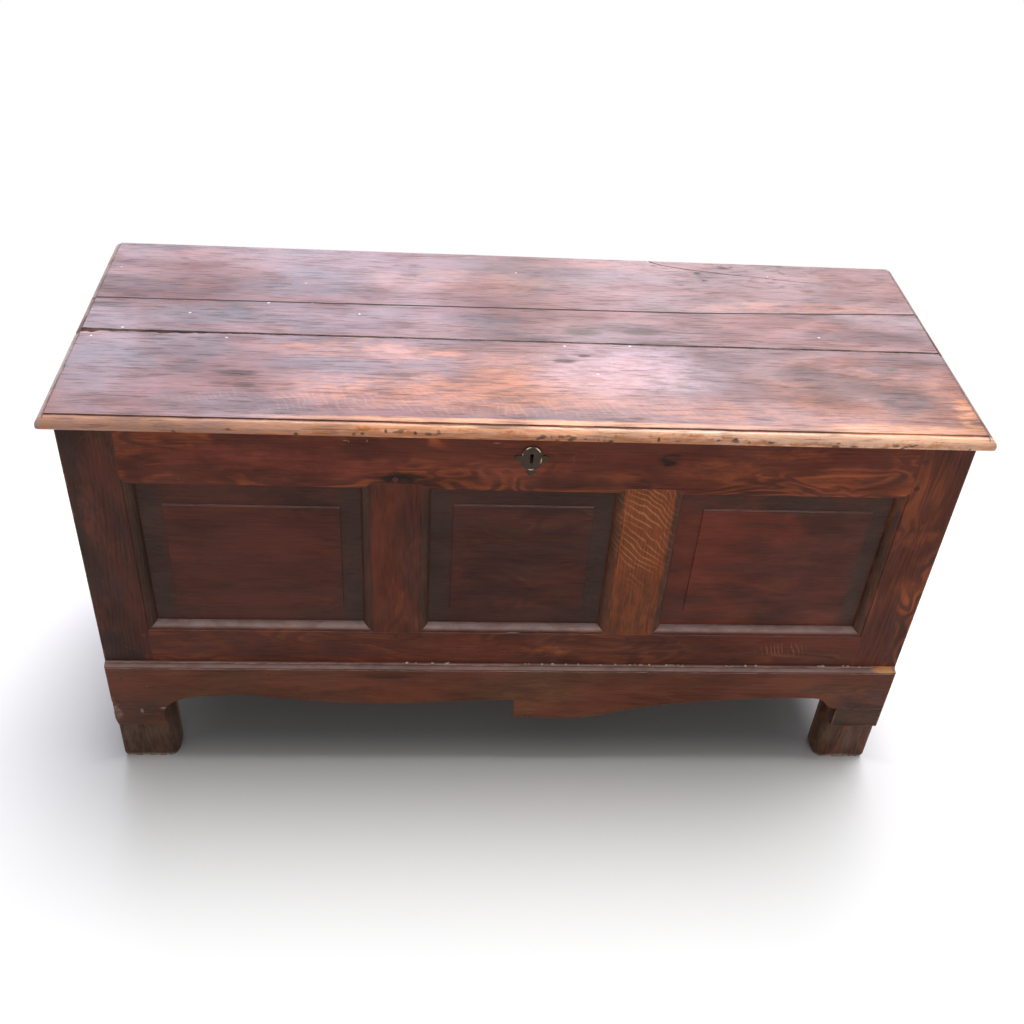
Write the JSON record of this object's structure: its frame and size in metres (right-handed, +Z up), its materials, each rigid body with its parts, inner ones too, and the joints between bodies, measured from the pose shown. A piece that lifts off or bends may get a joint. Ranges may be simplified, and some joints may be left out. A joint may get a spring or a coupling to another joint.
{
  "type": "panelled chest",
  "caption": "Joined chest of frame and raised panels with a hinged board lid, a keyhole plate, corner-post feet and a shaped apron.",
  "frame": {"origin": "on the floor, under the middle of the lid", "axes": "+X to the right of someone who faces the front, +Y towards the back, +Z up"},
  "size_m": [1.3, 0.504, 0.692],
  "materials": {
    "post_wood": "dark stained and waxed, worn",
    "rail_wood": "dark stained and waxed, flamed",
    "panel_wood": "dark stained and waxed",
    "apron_wood": "stained, dry and dusty",
    "lid_wood": "stained and waxed, worn and spotted",
    "plain_wood": "bare, aged",
    "peg_wood": "dark stained",
    "brass": "dull, dark in the hollows",
    "iron": "wrought, dark and slightly rusted"
  },
  "bodies": {
    "case": {"apron_lower_facing": "apron_wood", "apron_nails": "iron", "back_bottom_rail": "plain_wood", "back_muntin_left": "plain_wood", "back_muntin_right": "plain_wood", "back_panel_centre": "plain_wood", "back_panel_left": "plain_wood", "back_panel_right": "plain_wood", "back_post_left": "post_wood", "back_post_right": "post_wood", "back_top_rail": "plain_wood", "bolt_guides": "iron", "floor_board_1": "plain_wood", "floor_board_2": "plain_wood", "floor_board_3": "plain_wood", "floor_board_4": "plain_wood", "floor_board_5": "plain_wood", "front_apron": "apron_wood", "front_bottom_rail": "rail_wood", "front_muntin_left": "rail_wood", "front_muntin_right": "rail_wood", "front_panel_centre": "panel_wood", "front_panel_left": "panel_wood", "front_panel_right": "panel_wood", "front_post_left": "post_wood", "front_post_right": "post_wood", "front_top_rail": "rail_wood", "hinge_pins": "iron", "hinge_plate_left": "iron", "hinge_plate_nails": "iron", "hinge_plate_right": "iron", "joint_pegs": "peg_wood", "keyhole_plate": "brass", "keyhole_plate_pins": "brass", "left_bottom_rail": "rail_wood", "left_muntin": "rail_wood", "left_panel_back": "panel_wood", "left_panel_front": "panel_wood", "left_top_rail": "rail_wood", "lock_cap": "iron", "lock_nails": "iron", "lock_plate": "iron", "right_bottom_rail": "rail_wood", "right_muntin": "rail_wood", "right_panel_back": "panel_wood", "right_panel_front": "panel_wood", "right_top_rail": "rail_wood"},
    "lid": {"batten_nails": "iron", "hinge_strap_left": "iron", "hinge_strap_nails": "iron", "hinge_strap_right": "iron", "lid_batten_left": "plain_wood", "lid_batten_right": "plain_wood", "lid_board_back": "lid_wood", "lid_board_front": "lid_wood", "lid_board_middle": "lid_wood", "lock_staple": "iron", "staple_nails": "iron"},
    "lock_bolt": {"lock_bolt": "iron"}
  },
  "joints": [
    {"name": "lid_hinge", "type": "hinge", "parent": "case", "child": "lid", "pos_m": [0, 0.2463, 0.6647], "axis": [-1, 0, 0], "range_deg": [0, 100]},
    {"name": "bolt_slide", "type": "slide", "parent": "case", "child": "lock_bolt", "axis": [1, 0, 0], "range_m": [0, 0.009]}
  ]
}
